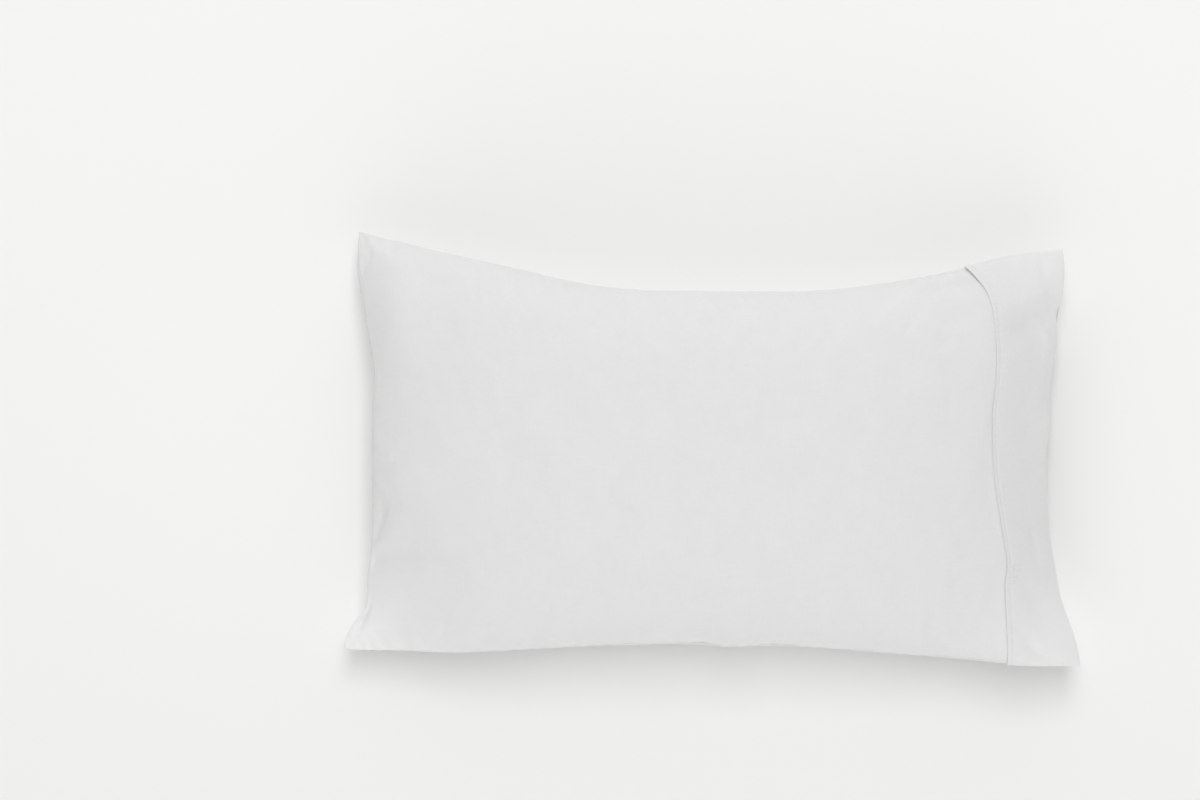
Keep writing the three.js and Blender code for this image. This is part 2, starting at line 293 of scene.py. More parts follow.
def crease_relief(creases, x, y):
    """Sum of bent creases: each a bell across a bent line, eased in and out along it."""
    relief = np.zeros_like(x)
    for path, width, rise in creases:
        corners = np.array(path)
        lengths = np.linalg.norm(np.diff(corners, axis=0), axis=1)
        nearest = np.full(x.shape, np.inf)
        along = np.zeros_like(x)
        done = 0.0
        for start, end, length in zip(corners[:-1], corners[1:], lengths):
            run = (end - start) / length
            forward = np.clip((x - start[0]) * run[0] + (y - start[1]) * run[1], 0, length)
            away = np.hypot(x - start[0] - run[0] * forward, y - start[1] - run[1] * forward)
            along = np.where(away < nearest, done + forward, along)
            nearest = np.minimum(away, nearest)
            done += length
        share = along / done
        fading = ease_in_out(share / CREASE_EASE_IN) * ease_in_out((1 - share) / CREASE_EASE_OUT)
        relief += rise * fading * np.exp(-(nearest / width) ** 2)
    return relief


def unevenness(x, y, seed, shortest, longest, count):
    """A seeded sum of cosine waves over the plan, of even strength from the shortest to the longest wave."""
    random = np.random.default_rng(seed)
    length = shortest * (longest / shortest) ** random.random(count)
    heading = random.random(count) * 2 * np.pi
    phase = random.random(count) * 2 * np.pi
    relief = np.zeros_like(x)
    for wave, angle, start in zip(length, heading, phase):
        relief += np.cos(2 * np.pi / wave * (x * np.cos(angle) + y * np.sin(angle)) + start)
    return relief / np.sqrt(count / 2)


def puckers(along, away, pitch, reach, seed):
    """Small gathers along a sewn line: cosine waves of uneven phase and strength along it, times a bell
    across it."""
    level = np.zeros_like(along)
    drift = unevenness(along, level, seed, pitch * 3, pitch * 9, 6)
    varied = unevenness(along, level, seed + 1, pitch * 6, pitch * 20, 5)
    strength = PUCKER_EVENNESS + (1 - PUCKER_EVENNESS) * varied
    waves = np.cos(2 * np.pi * along / pitch + PUCKER_DRIFT * drift)
    return waves * strength * np.exp(-(away / reach) ** 2)


def grid_normals(points):
    """Outward unit normals of a grid whose columns wrap, by central differences."""
    down = np.gradient(points, axis=0)
    across = np.roll(points, -1, 1) - np.roll(points, 1, 1)
    outward = np.cross(across, down)
    size = np.linalg.norm(outward, axis=-1, keepdims=True)
    return -outward / np.maximum(size, 1e-12)


# ---------------------------------------------------------------- meshes from grids
def grid_quads(rows, columns, wrap_rows):
    """Corner rows and columns of the quads of a grid whose columns wrap, and whose rows may wrap too."""
    quad_rows = rows if wrap_rows else rows - 1
    row, column = np.meshgrid(np.arange(quad_rows), np.arange(columns), indexing="ij")
    corners = ((row, column), (row + 1, column), (row + 1, column + 1), (row, column + 1))
    return np.stack([np.stack(corner, -1) for corner in corners], -2).reshape(-1, 4, 2)


def zipped(rows, columns):
    """Point numbers of a grid whose first and last rings each lie flat on one line, edge on edge."""
    number = np.arange(rows * columns).reshape(rows, columns)
    partner = (columns - np.arange(columns)) % columns
    for ring in (0, rows - 1):
        number[ring] = number[ring][np.minimum(np.arange(columns), partner)]
    used, compact = np.unique(number, return_inverse=True)
    return used, compact.reshape(rows, columns)


def cloth_lengths(points, wrap_rows):
    """Mean lengths of cloth, in metres, down the rows and round the columns of a grid."""
    down = np.diff(points, axis=0, append=points[:1])
    round_it = np.diff(points, axis=1, append=points[:, :1])
    down = np.linalg.norm(down, axis=-1).mean(1)
    round_it = np.linalg.norm(round_it, axis=-1).mean(0)
    return np.append(0, np.cumsum(down if wrap_rows else down[:-1])), np.append(0, np.cumsum(round_it))


def mesh_piece(name, points, faces, uv=None):
    """A smooth-shaded mesh object at the origin from arrays of points, faces and corner coordinates, with
    how slack the cloth is at each point: one less its fill share."""
    mesh = bpy.data.meshes.new(name)
    mesh.vertices.add(len(points))
    mesh.vertices.foreach_set("co", np.asarray(points, np.float32).ravel())
    mesh.loops.add(faces.size)
    mesh.loops.foreach_set("vertex_index", faces.astype(np.int32).ravel())
    mesh.polygons.add(len(faces))
    mesh.polygons.foreach_set("loop_start", np.arange(0, faces.size, faces.shape[1], dtype=np.int32))
    mesh.polygons.foreach_set("use_smooth", np.ones(len(faces), bool))
    mesh.update(calc_edges=True)
    if uv is not None:
        mesh.uv_layers.new(name="cloth").data.foreach_set("uv", uv.astype(np.float32).ravel())
    # The slackness also sets how much painted light the cotton puts on the slack ears.
    slackness = 1 - fill_share(*(np.asarray(points)[:, :2] - CENTRE[:2]).T)
    mesh.attributes.new("slackness", "FLOAT", "POINT").data.foreach_set("value", slackness.astype(np.float32))
    mesh.validate()
    piece = bpy.data.objects.new(name, mesh)
    bpy.context.scene.collection.objects.link(piece)
    return piece


def cloth_piece(name, points, wrap_rows):
    """A closed piece of cloth from a grid: zipped at both ends, or with its rows joined in a loop."""
    rows, columns = points.shape[:2]
    if wrap_rows:
        used, number = np.arange(rows * columns), np.arange(rows * columns).reshape(rows, columns)
    else:
        used, number = zipped(rows, columns)
    quads = grid_quads(rows, columns, wrap_rows)
    down, round_it = cloth_lengths(points, wrap_rows)
    uv = np.stack([down[quads[..., 0]], round_it[quads[..., 1]]], -1)
    faces = number[quads[..., 0] % rows, quads[..., 1] % columns]
    return mesh_piece(name, points.reshape(-1, 3)[used], faces, uv)


# ---------------------------------------------------------------- body
END_CROWDING = 1.7
END_CROWDING_SHARE = 0.5
LIP_STEPS = 3
SHELL_STEPS = 120
END_STEPS = 12
ROUND_STEPS = 170

# Creases of the upper face: path of x, y; half width; rise (below zero: a trough)
BODY_CREASES = (
    (((-0.374, -0.110), (-0.365, -0.080), (-0.359, -0.040)), 0.0034, -0.0016),
    (((-0.374, -0.108), (-0.360, -0.072), (-0.348, -0.034)), 0.0038, -0.0014),
    (((-0.378, -0.114), (-0.350, -0.092), (-0.322, -0.080)), 0.0080, 0.0026),
    (((-0.420, -0.130), (-0.380, -0.125), (-0.315, -0.118), (-0.235, -0.130)), 0.0110, -0.0050),
    (((-0.3795, -0.166), (-0.3820, -0.180), (-0.394, -0.214)), 0.0040, -0.0044),
    (((-0.392, -0.206), (-0.345, -0.202), (-0.305, -0.206)), 0.0080, -0.0022),
    (((-0.388, 0.238), (-0.359, 0.209), (-0.340, 0.197), (-0.315, 0.188)), 0.0055, 0.0018),
    (((-0.330, 0.192), (-0.211, 0.186), (-0.160, 0.182), (-0.120, 0.170)), 0.0070, 0.0010),
    (((-0.372, 0.240), (-0.345, 0.190), (-0.340, 0.125), (-0.346, 0.040)), 0.0300, 0.0100),
    (((0.296, 0.183), (0.262, 0.178), (0.229, 0.174), (0.190, 0.172)), 0.0060, -0.0034),
    (((0.300, 0.164), (0.262, 0.163), (0.225, 0.160)), 0.0080, 0.0016),
    (((0.190, -0.205), (0.205, -0.160), (0.216, -0.110)), 0.0160, -0.0010),
    (((-0.030, -0.222), (-0.020, -0.200), (-0.010, -0.170)), 0.0070, 0.0010),
)
# Waves over a whole face: the shortest, the longest and how many
UNEVEN_HEIGHT = 0.0007
UNEVEN_WAVES = (0.07, 0.24, 26)
RIPPLE_HEIGHT = 0.00016
RIPPLE_WAVES = (0.018, 0.06, 30)
SEAM_PUCKER = 0.00055
SEAM_PUCKER_PITCH = 0.015
SEAM_PUCKER_REACH = 0.016
SEAM_PUCKER_SLANT = 0.12  # metres that a pucker of the long seams shifts along X from its seam to the middle
# Fades of the relief: in metres above FLOOR_CLEARANCE, in metres from the closed end, in s near the cuff
FLOOR_FADE = 0.012
CLOSED_END_FADE = 0.004
CUFF_FADE_FROM, CUFF_FADE = 0.985, 0.015
# Where the cloth is held while it settles
HELD_AT_CUFF_FROM, HELD_AT_CUFF_EASE = 0.90, 0.07
HELD_AT_CLOSED_END = 0.012
HELD_ON_FLOOR_EASE = 0.010
HELD_LEVELS = 8
MOST_SETTLING = 0.006
SETTLING_FRAMES = 20
SWELL_SPREAD = 7  # grid steps over which a move counts as swelling, not as a wrinkle
SWELL_KEPT = 0.25
WRINKLE_KEPT = 0.6


def body_grid(detail):
    """Rings from the closed end's lip to the cuff's fold, then round the filled end; with s and turn. The
    end runs on inside the cuff by the sine of an angle, from END_REACH at its middle to
    END_REACH_AT_SEAMS by the cube of the place across, a little inside the cuff's skin, and its height
    closes on the seams' level by a power of the cosine."""
    lip_run = SEAM_LIP / BODY_LENGTH
    lip_angle = np.linspace(0, np.pi / 2, LIP_STEPS * detail + 1)
    past_lip = np.linspace(0, 1, SHELL_STEPS * detail + 1)[1:]
    crowded = mix(past_lip ** END_CROWDING, past_lip, END_CROWDING_SHARE)
    s = np.concatenate([lip_run * (1 - np.cos(lip_angle)), mix(lip_run, 1.0, crowded)])
    end_lip = np.append(np.sin(lip_angle), np.ones(len(crowded)))
    turn = np.arange(ROUND_STEPS * detail) / (ROUND_STEPS * detail)
    s, turn_on_shell = np.meshgrid(s, turn, indexing="ij")
    shell = skin(s, turn_on_shell, np.repeat(end_lip[:, None], len(turn), 1))

    angle = np.linspace(0, np.pi / 2, END_STEPS * detail + 1)[1:]
    angle, turn_on_end = np.meshgrid(angle, turn, indexing="ij")
    across = round_the_section(turn_on_end)[1]
    reach = mix(END_REACH, END_REACH_AT_SEAMS, np.abs(across) ** 3)
    s_end = 1 + reach * np.sin(angle)
    end, outward, _ = skin_frame(s_end, turn_on_end)
    end = end - outward * (END_CLEARANCE * np.sin(2 * angle))[..., None] - CENTRE
    middle = seam_level(s_end, end[..., 0], end[..., 1])
    end[..., 2] = mix(middle, end[..., 2], np.cos(angle) ** END_BLUNTNESS)
    end[..., 1] *= 1 - END_NARROWING * np.sin(angle) ** 2
    points = np.concatenate([shell, end + CENTRE])
    return points, np.concatenate([s, s_end]), np.concatenate([turn_on_shell, turn_on_end])


def how_held(points, s, turn):
    """1 where the cloth can't move: at the lips, at the closed end, on the floor and from just before the
    cuff on. It eases to 0 away from all of these but the lips."""
    at_lip = np.where(round_the_section(turn)[2] > 0, 1.0, 0.0)
    at_cuff = ease_in_out((s - HELD_AT_CUFF_FROM) / HELD_AT_CUFF_EASE)
    at_closed_end = 1 - ease_in_out(s / HELD_AT_CLOSED_END)
    on_floor = 1 - ease_in_out((points[..., 2] - FLOOR_CLEARANCE) / HELD_ON_FLOOR_EASE)
    return np.maximum.reduce([at_lip, at_cuff, at_closed_end, on_floor])


def spread_out(values, steps):
    """Each value averaged with its neighbours' by 1, 2, 1 round the columns and down the rows, steps times
    steps times over, which spreads it by a bell."""
    for _ in range(steps * steps):
        beside = np.roll(values, 1, 1) + np.roll(values, -1, 1)
        values = (beside + 2 * values) / 4
        longer = np.concatenate([values[:1], values, values[-1:]])
        values = (longer[:-2] + 2 * values + longer[2:]) / 4
    return values


def blown_up(points, held):
    """Movement of each grid point when the cloth is blown up from inside: Blender's cloth under pressure
    for SETTLING_FRAMES, without gravity, each move m shortened to m / sqrt(1 + (m / MOST_SETTLING)^2),
    then less of its broad swelling than of its wrinkles kept, and both times the square of the fill
    share, so that a slacker ear moves less."""
    piece = cloth_piece("settling_cloth", points, wrap_rows=False)
    used, number = zipped(*points.shape[:2])
    group = piece.vertex_groups.new(name="held")
    level = np.round(held.ravel()[used] * HELD_LEVELS) / HELD_LEVELS
    for weight in np.unique(level):
        group.add(np.flatnonzero(level == weight).tolist(), float(weight), "REPLACE")
    cloth = piece.modifiers.new("cloth", "CLOTH")
    cloth.point_cache.frame_end = SETTLING_FRAMES
    cloth.collision_settings.use_collision = False
    rules = cloth.settings
    rules.quality = 6
    rules.mass = 0.15
    rules.tension_stiffness = rules.compression_stiffness = 12
    rules.shear_stiffness = 4
    rules.bending_stiffness = 0.35
    rules.shrink_min = -0.012
    rules.use_pressure = True
    rules.uniform_pressure_force = 4
    rules.vertex_group_mass = "held"
    rules.effector_weights.gravity = 0
    scene = bpy.context.scene
    for step in range(1, SETTLING_FRAMES + 1):
        scene.frame_set(step)
    moved = piece.evaluated_get(bpy.context.evaluated_depsgraph_get()).data
    places = np.empty(len(used) * 3, np.float32)
    moved.vertices.foreach_get("co", places)
    scene.frame_set(1)
    bpy.data.objects.remove(piece)
    move = places.reshape(-1, 3)[number] - points
    size = np.linalg.norm(move, axis=-1, keepdims=True)
    move = move / np.sqrt(1 + (size / MOST_SETTLING) ** 2)
    swell = spread_out(move, SWELL_SPREAD)
    free = (1 - held) * fill_share(points[..., 0] - CENTRE[0], points[..., 1] - CENTRE[1]) ** 2
    return (SWELL_KEPT * swell + WRINKLE_KEPT * (move - swell)) * free[..., None]


def halved(values, wraps):
    """Rows put between the rows of a grid by the four-point rule: 9/16 of the near, -1/16 of the far."""
    if wraps:
        near = values + np.roll(values, -1, 0)
        far = np.roll(values, 1, 0) + np.roll(values, -2, 0)
        return np.stack([values, (9 * near - far) / 16], 1).reshape(-1, *values.shape[1:])
    longer = np.concatenate([values[:1], values, values[-1:]])
    between = (9 * (longer[1:-2] + longer[2:-1]) - longer[:-3] - longer[3:]) / 16
    finer = np.empty((2 * len(values) - 1, *values.shape[1:]))
    finer[::2], finer[1::2] = values, between
    return finer


def body_relief(points, s, turn):
    """Creases, broad unevenness, ripples and seam puckers of the body, in metres along its normal."""
    x, y = points[..., 0] - CENTRE[0], points[..., 1] - CENTRE[1]
    upper, across, lip_angle = round_the_section(turn)
    from_seam = (1 - np.abs(across)) * CASE_WIDTH / 2
    from_end = s * BODY_LENGTH
    face_x = x + np.where(upper, 0.0, OTHER_FACE)
    relief = UNEVEN_HEIGHT * unevenness(face_x, y, 11, *UNEVEN_WAVES)
    relief += RIPPLE_HEIGHT * unevenness(face_x, y, 12, *RIPPLE_WAVES)
    relief += np.where(upper, crease_relief(BODY_CREASES, x, y), 0)
    slanted = x + across * SEAM_PUCKER_SLANT
    relief += SEAM_PUCKER * puckers(slanted, from_seam, SEAM_PUCKER_PITCH, SEAM_PUCKER_REACH, 21)
    relief += SEAM_PUCKER * puckers(y, from_end, SEAM_PUCKER_PITCH, SEAM_PUCKER_REACH, 23)
    off_floor = ease_in_out((points[..., 2] - FLOOR_CLEARANCE) / FLOOR_FADE)
    off_lip = np.cos(lip_angle) * ease_in_out(from_end / CLOSED_END_FADE)
    off_cuff = 1 - ease_in_out((s - CUFF_FADE_FROM) / CUFF_FADE)
    return relief * off_floor * off_lip * off_cuff


def make_body():
    """The filled case: its grid, settled as cloth under pressure at half the detail, then its fine
    relief along the normal."""
    points, s, turn = body_grid(2)
    coarse, coarse_s, coarse_turn = body_grid(1)
    move = blown_up(coarse, how_held(coarse, coarse_s, coarse_turn))
    move = halved(halved(move, False).swapaxes(0, 1), True).swapaxes(0, 1)
    points = points + move
    points = points + grid_normals(points) * body_relief(points, s, turn)[..., None]
    points[..., 2] = np.maximum(points[..., 2], 0)
    return cloth_piece("filled_case", points, wrap_rows=False)


# ---------------------------------------------------------------- cuff
CUFF_COLUMNS = 1100
CUFF_ROWS_OUT = 56
CUFF_ROWS_IN = 14
CUFF_EDGE_ROWS = 5
CUFF_CLOTH = 0.0020
CUFF_GAP = 0.0002
CUFF_CROWDING = 1.6
CUFF_EVENNESS = 0.3  # share of even spacing in the crowding of its rows to the fold
CUFF_OFF_FLOOR = 0.0001
CUFF_UNEVEN_HEIGHT = 0.0006
CUFF_UNEVEN_WAVES = (0.05, 0.16, 22)
CUFF_FLOOR_FADE = 0.010
CUFF_FOLD_FADE = 0.008
STITCH_INSET = 0.0055
STITCH_LENGTH = 0.0026
STITCH_PITCH = 0.0035
STITCH_RADIUS = 0.00022
STITCH_GROOVE = 0.00065
STITCH_GROOVE_WIDTH = 0.0011
STITCH_SINKING = 2.2  # radii that the ends of a stitch lie below its middle
STITCH_LEAST = 0.02  # square of the share of its radius that a stitch keeps at its ends
THREAD_RINGS = 7
THREAD_SIDES = 6
GATHER_HEIGHT = 0.00018
GATHER_PITCH = 0.0037
GATHER_REACH = 0.004
GATHER_PLACE = 0.001  # metres from the stitches towards the mouth
FOLD_LIFT = 0.0015
FOLD_LIFT_PLACE = (0.286, 0.190)
FOLD_LIFT_REACH = 0.013
FLAT_EDGE = 0.66  # share of the cloth's thickness pressed out of the fold's edge along the case's face
FLAT_EDGE_ENDS = (-0.135, 0.165)  # y between which the fold's edge is pressed flat
FLAT_EDGE_EASE = 0.05
FLAT_EDGE_REACH = 0.012

# Creases of the cuff's upper face, in the same way
CUFF_CREASES = (
    (((0.405, 0.158), (0.372, 0.146), (0.345, 0.133), (0.306, 0.115)), 0.0150, -0.0066),
    (((0.376, 0.176), (0.352, 0.168), (0.332, 0.162), (0.310, 0.154)), 0.0090, 0.0032),
    (((0.364, 0.214), (0.3655, 0.192), (0.366, 0.176)), 0.0050, -0.0022),
    (((0.369, 0.136), (0.371, 0.115), (0.370, 0.092)), 0.0050, 0.0014),
    (((0.380, 0.110), (0.374, 0.060), (0.366, 0.010)), 0.0080, -0.0020),
    (((0.350, -0.080), (0.355, -0.107), (0.360, -0.138)), 0.0070, -0.0018),
    (((0.325, -0.135), (0.3400, -0.180), (0.361, -0.204), (0.404, -0.236)), 0.0110, 0.0022),
    (((0.338, -0.208), (0.360, -0.226), (0.392, -0.240)), 0.0060, -0.0026),
    (((0.326, -0.1290), (0.340, -0.1295)), 0.0016, -0.0009),
    (((0.326, -0.1345), (0.341, -0.1350)), 0.0016, -0.0009),
    (((0.326, -0.1400), (0.338, -0.1410)), 0.0016, -0.0009),
)


def cuff_skin(s, turn):
    """The cuff's inner skin with creases, unevenness growing to the mouth and the lifted end of the fold;
    its normal, its direction towards the mouth, its metres from the fold, and its y in the tables."""
    place, outward, forward = skin_frame(s, turn)
    fold = skin(np.full_like(s, JUST_ON_CUFF), turn)
    mouth = skin(np.full_like(s, 2.0), turn)
    width = np.linalg.norm(mouth - fold, axis=-1)
    from_fold = (s - 1) * width
    x, y = place[..., 0] - CENTRE[0], place[..., 1] - CENTRE[1]
    upper, across, lip_angle = round_the_section(turn)
    place[..., 0] += np.where(upper, 0, LOWER_LIP_REACH * (s - 1) ** 2 * (1 - across ** 2))
    relief = np.where(upper, crease_relief(CUFF_CREASES, x, y), 0)
    face_x = x + np.where(upper, 0.0, OTHER_FACE)
    relief += CUFF_UNEVEN_HEIGHT * unevenness(face_x, y, 31, *CUFF_UNEVEN_WAVES) * (s - 1)
    lift = np.exp(-((x - FOLD_LIFT_PLACE[0]) ** 2 + (y - FOLD_LIFT_PLACE[1]) ** 2) / FOLD_LIFT_REACH ** 2)
    lifted = np.where(upper, FOLD_LIFT * lift, 0)
    relief += lifted
    relief *= np.cos(lip_angle) * ease_in_out((place[..., 2] - FLOOR_CLEARANCE) / CUFF_FLOOR_FADE)
    off_fold = ease_in_out(from_fold / CUFF_FOLD_FADE)
    relief = relief * off_fold + lifted * np.cos(lip_angle) * (1 - off_fold)
    return place + outward * relief[..., None], outward, forward, from_fold, y


def half_thickness(from_fold, y):
    """Half the cuff's thickness: less by a bell near the fold, between the two ends of its pressed run."""
    low, high = FLAT_EDGE_ENDS
    pressed = ease_in_out((y - low) / FLAT_EDGE_EASE + 0.5) * ease_in_out((high - y) / FLAT_EDGE_EASE + 0.5)
    return CUFF_CLOTH / 2 * (1 - FLAT_EDGE * pressed * np.exp(-(from_fold / FLAT_EDGE_REACH) ** 2))


def make_cuff():
    """A band of doubled cloth: out along its face, round the mouth's edge, back inside, round the fold.
    Its outer face has a groove for the stitches, a bell across their line, and gathers beside it."""
    out = np.linspace(0, 1, CUFF_ROWS_OUT)
    out = 1 + mix(out ** CUFF_CROWDING, out, CUFF_EVENNESS)
    edge = np.linspace(0, np.pi, CUFF_EDGE_ROWS + 2)[1:-1]
    back = np.linspace(2, 1, CUFF_ROWS_IN)
    s = np.concatenate([out, np.full(len(edge), 2.0), back, np.full(len(edge), 1.0)])
    side = np.concatenate([np.ones(len(out)), np.cos(edge), -np.ones(len(back)), -np.cos(edge)])
    ahead = np.concatenate([np.zeros(len(out)), np.sin(edge), np.zeros(len(back)), -np.sin(edge)])
    turn = np.arange(CUFF_COLUMNS) / CUFF_COLUMNS
    s, turn = np.meshgrid(np.maximum(s, JUST_ON_CUFF), turn, indexing="ij")
    place, outward, forward, from_fold, y = cuff_skin(s, turn)
    groove = STITCH_GROOVE * np.exp(-((from_fold - STITCH_INSET) / STITCH_GROOVE_WIDTH) ** 2)
    from_gathers = np.abs(from_fold - STITCH_INSET - GATHER_PLACE)
    gathers = GATHER_HEIGHT * puckers(y, from_gathers, GATHER_PITCH, GATHER_REACH, 41)
    outer_face = np.maximum(side, 0)[:, None]
    half = half_thickness(from_fold, y)
    carried = CUFF_GAP + half * (1 + side[:, None]) + (gathers - groove) * outer_face
    points = place + outward * carried[..., None] + forward * (half * ahead[:, None])[..., None]
    points[..., 2] = np.maximum(points[..., 2], CUFF_OFF_FLOOR)
    return cloth_piece("cuff_band", points, wrap_rows=True)


def make_stitches():
    """Topstitching: short thick threads end to end round the cuff, each a tube sunk at both its ends. Their
    line is STITCH_INSET from the fold, found by scaling a first guess of s a few times. A stitch's radius
    falls by the root of one less a fourth power of the place along it, its height by that power."""
    turn = np.linspace(0, 1, 4000, endpoint=False)
    s = np.full_like(turn, 1.05)
    for _ in range(4):
        from_fold = cuff_skin(s, turn)[3]
        s = 1 + (s - 1) * STITCH_INSET / from_fold
    place, outward, _, from_fold, y = cuff_skin(s, turn)
    raised = CUFF_GAP + 2 * half_thickness(from_fold, y) - STITCH_GROOVE
    line = place + outward * raised[:, None]
    closed = np.concatenate([line, line[:1]])
    closed_outward = np.concatenate([outward, outward[:1]])
    run = np.append(0, np.cumsum(np.linalg.norm(np.diff(closed, axis=0), axis=-1)))
    count = int(run[-1] / STITCH_PITCH)
    along = np.linspace(-0.5, 0.5, THREAD_RINGS)
    centre = (np.arange(count) + 0.5) * run[-1] / count
    at = centre[:, None] + along * STITCH_LENGTH
    path = np.stack([np.interp(at, run, closed[:, axis]) for axis in range(3)], -1)
    up = np.stack([np.interp(at, run, closed_outward[:, axis]) for axis in range(3)], -1)
    up /= np.linalg.norm(up, axis=-1, keepdims=True)
    tangent = path[:, -1:] - path[:, :1]
    tangent /= np.linalg.norm(tangent, axis=-1, keepdims=True)
    aside = np.cross(tangent, up)
    thick = STITCH_RADIUS * np.sqrt(np.maximum(1 - (2 * along) ** 4, STITCH_LEAST))
    rise = STITCH_RADIUS * (1 - STITCH_SINKING * (2 * along) ** 4)
    corner = np.arange(THREAD_SIDES) * np.pi / 3
    ring = up[:, :, None] * np.cos(corner)[:, None] + aside[:, :, None] * np.sin(corner)[:, None]
    tubes = (path + up * rise[:, None])[:, :, None] + ring * thick[:, None, None]
    quads = grid_quads(THREAD_RINGS, THREAD_SIDES, False)
    side_faces = quads[..., 0] * THREAD_SIDES + quads[..., 1] % THREAD_SIDES
    first_end = np.array([(3, 2, 1, 0), (5, 4, 3, 0)])
    last_end = first_end[:, ::-1] + (THREAD_RINGS - 1) * THREAD_SIDES
    one = np.concatenate([side_faces, first_end, last_end])
    faces = (np.arange(count)[:, None, None] * THREAD_RINGS * THREAD_SIDES + one).reshape(-1, 4)
    return mesh_piece("cuff_stitching", tubes.reshape(-1, 3), faces)


# ---------------------------------------------------------------- finishes
FLOOR_LIGHT = (0.930, 0.937, 0.920)
FLOOR_DARK = (0.915, 0.922, 0.905)
CASE_LIGHT = (0.788, 0.788, 0.786)
CASE_DARK = (0.750, 0.750, 0.748)
# Painted shade: the cuff's colours are a little darker than the case's, standing in for the shade on its
# slope to the mouth.
CUFF_SHADED_LIGHT = (0.786, 0.786, 0.784)
CUFF_SHADED_DARK = (0.740, 0.740, 0.738)
# Painted light: the slack ears are made paler, standing in for light shining through their double layers.
SLACK_PAINTED_GLOW = (0.885, 0.885, 0.883)
THREAD_LIGHT = (0.86, 0.86, 0.855)
THREAD_DARK = (0.79, 0.79, 0.785)
THREAD_PITCH = 0.00045  # metres between the weave's threads
BUMP_DEPTH = 0.0001
OBJECT_PLACE = 3  # which output of a Texture Coordinate node gives the place on the object


class Value:
    """A socket of a material's node whose arithmetic adds Math nodes to that material."""

    def __init__(self, finish, socket):
        self.finish = finish
        self.socket = socket

    def other_output(self, number):
        """Another output of the same node, by its number."""
        return Value(self.finish, self.socket.node.outputs[number])

    def math(self, operation, first, second):
        return self.finish.node("ShaderNodeMath", {"operation": operation}, {0: first, 1: second})

    def __add__(self, other):
        return self.math("ADD", self, other)

    def __sub__(self, other):
        return self.math("SUBTRACT", self, other)

    def __rsub__(self, other):
        return self.math("SUBTRACT", other, self)

    def __mul__(self, other):
        return self.math("MULTIPLY", self, other)

    __radd__ = __add__
    __rmul__ = __mul__

    def sine(self):
        return self.math("SINE", self, 0.0)

    def clamped(self):
        return self.finish.node("ShaderNodeClamp", None, {0: self, 1: 0.0, 2: 1.0})


class Finish:
    """A material or a sky with the nodes that make it."""

    def __init__(self, owner):
        owner.use_nodes = True
        self.owner = owner
        self.nodes = owner.node_tree.nodes
        self.links = owner.node_tree.links
        self.nodes.clear()

    def node(self, kind, settings=None, inputs=None, output=0):
        """A node of a kind: its settings first, then its sockets' values or links; one of its outputs."""
        made = self.nodes.new(kind)
        for name, setting in (settings or {}).items():
            setattr(made, name, setting)
        for name, value in (inputs or {}).items():
            if isinstance(value, Value):
                self.links.new(value.socket, made.inputs[name])
            else:
                made.inputs[name].default_value = value
        return Value(self, made.outputs[output]) if made.outputs else None

    def blend(self, amount, start, end):
        """A colour from start, where the amount is 0, to end, where it is 1."""
        start, end = (colour if isinstance(colour, Value) else (*colour, 1) for colour in (start, end))
        return self.node("ShaderNodeMix", {"data_type": "RGBA"}, {0: amount, 6: start, 7: end}, 2)

    def bump(self, height, strength):
        """A normal from a height, in parts of BUMP_DEPTH."""
        return self.node("ShaderNodeBump", None,
                         {"Height": height, "Strength": strength, "Distance": BUMP_DEPTH})

    def surface(self, inputs):
        """The material itself, with one shader of these inputs."""
        shader = self.node("ShaderNodeBsdfPrincipled", None, inputs)
        self.node("ShaderNodeOutputMaterial", None, {"Surface": shader})
        return self.owner


def cotton(name, light, dark, pale):
    """Plain weave: crossed thread ridges that pass over and under each other, thick and thin threads
    each way, fine grain and a cloudy mottle; colours run from dark to light with them all, and towards
    a painted glow in the slack ears, which stands in for light shining through the layers."""
    finish = Finish(bpy.data.materials.new(name))
    cloth = finish.node("ShaderNodeUVMap", {"uv_map": "cloth"})
    length = finish.node("ShaderNodeSeparateXYZ", None, {0: cloth})
    girth = length.other_output(1)
    turns = np.pi / THREAD_PITCH
    over = (length * turns).sine() * (girth * turns).sine()
    ridges = (length * turns * 2).sine() + (girth * turns * 2).sine()

    def noise(scale, detail, roughness=0.55):
        """Noise about zero over the cloth's lengths, at a scale down it and round it."""
        place = finish.node("ShaderNodeMapping", None, {"Vector": cloth, "Scale": (*scale, 1)})
        return finish.node("ShaderNodeTexNoise", None,
                           {"Vector": place, "Scale": 1.0, "Detail": detail, "Roughness": roughness}) - 0.5

    threads = noise((60, 340), 2.0) + noise((340, 48), 2.0)
    grain = noise((300, 280), 2.0)
    mottle = noise((34, 22), 7.0, 0.70)
    amount = (threads * 0.5 + grain * 0.9 + mottle * 1.4 + 0.5).clamped()
    # Painted light: blends towards the paler colour where the cloth is slack, standing in for light through
    # the layers.
    slack = finish.node("ShaderNodeAttribute", {"attribute_name": "slackness"}, None, 2)
    paint = finish.blend(slack, finish.blend(amount, dark, light), pale)
    bump = finish.bump(over * 0.30 + ridges * 0.18 + threads * 0.8, 0.30)
    return finish.surface({"Base Color": paint, "Roughness": 0.88, "Normal": bump, "Sheen Weight": 0.10,
                           "Sheen Roughness": 0.5, "Specular IOR Level": 0.20})


def sewing_thread():
    """Twisted thread: fine slanting ridges and a little of the light and dark of its plies."""
    finish = Finish(bpy.data.materials.new("sewing_thread"))
    place = finish.node("ShaderNodeTexCoord", None, None, OBJECT_PLACE)
    twist = finish.node("ShaderNodeTexWave", {"bands_direction": "DIAGONAL"},
                        {"Vector": place, "Scale": 900.0, "Distortion": 1.0}).other_output(1)
    paint = finish.blend(twist, THREAD_DARK, THREAD_LIGHT)
    return finish.surface({"Base Color": paint, "Roughness": 0.6, "Normal": finish.bump(twist, 0.3),
                           "Sheen Weight": 0.1})


